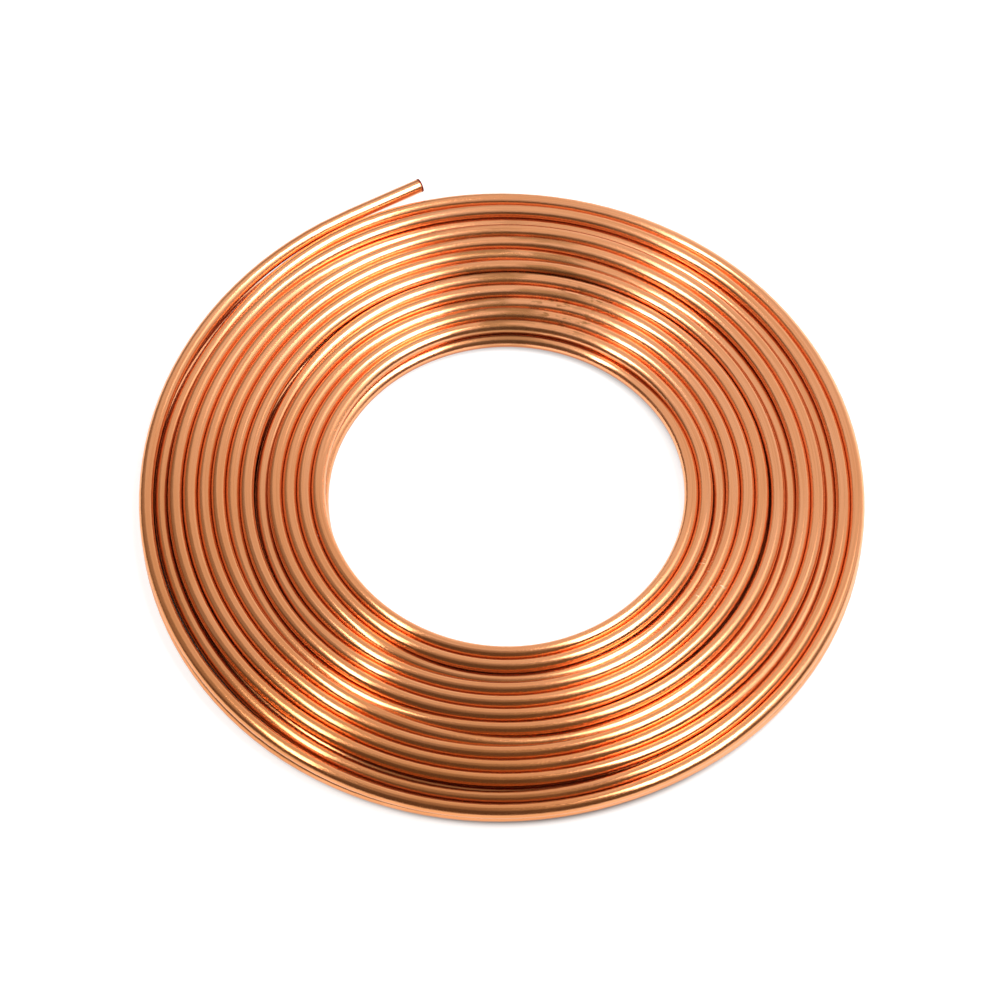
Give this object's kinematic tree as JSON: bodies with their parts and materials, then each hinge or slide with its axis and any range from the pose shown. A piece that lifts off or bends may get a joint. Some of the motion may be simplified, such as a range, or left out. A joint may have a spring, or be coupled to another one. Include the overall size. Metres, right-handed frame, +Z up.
{
  "type": "copper tube coil",
  "caption": "Flat coil of soft bare copper tube, wound close in layers round a wide open eye, with one cut end springing away from the outer turn.",
  "frame": {"origin": "middle of the coil's eye on the floor plane the coil lies on", "axes": "+Z up through the eye; the free end springs away towards +X from the far side (+Y) of the coil"},
  "size_m": [0.3152, 0.3226, 0.0127],
  "materials": {
    "copper_tube": "bright bare drawn copper, fine lengthwise drawing lines, faint handling stains"
  },
  "bodies": {
    "root": {"tube_coil": "copper_tube"}
  },
  "joints": []
}
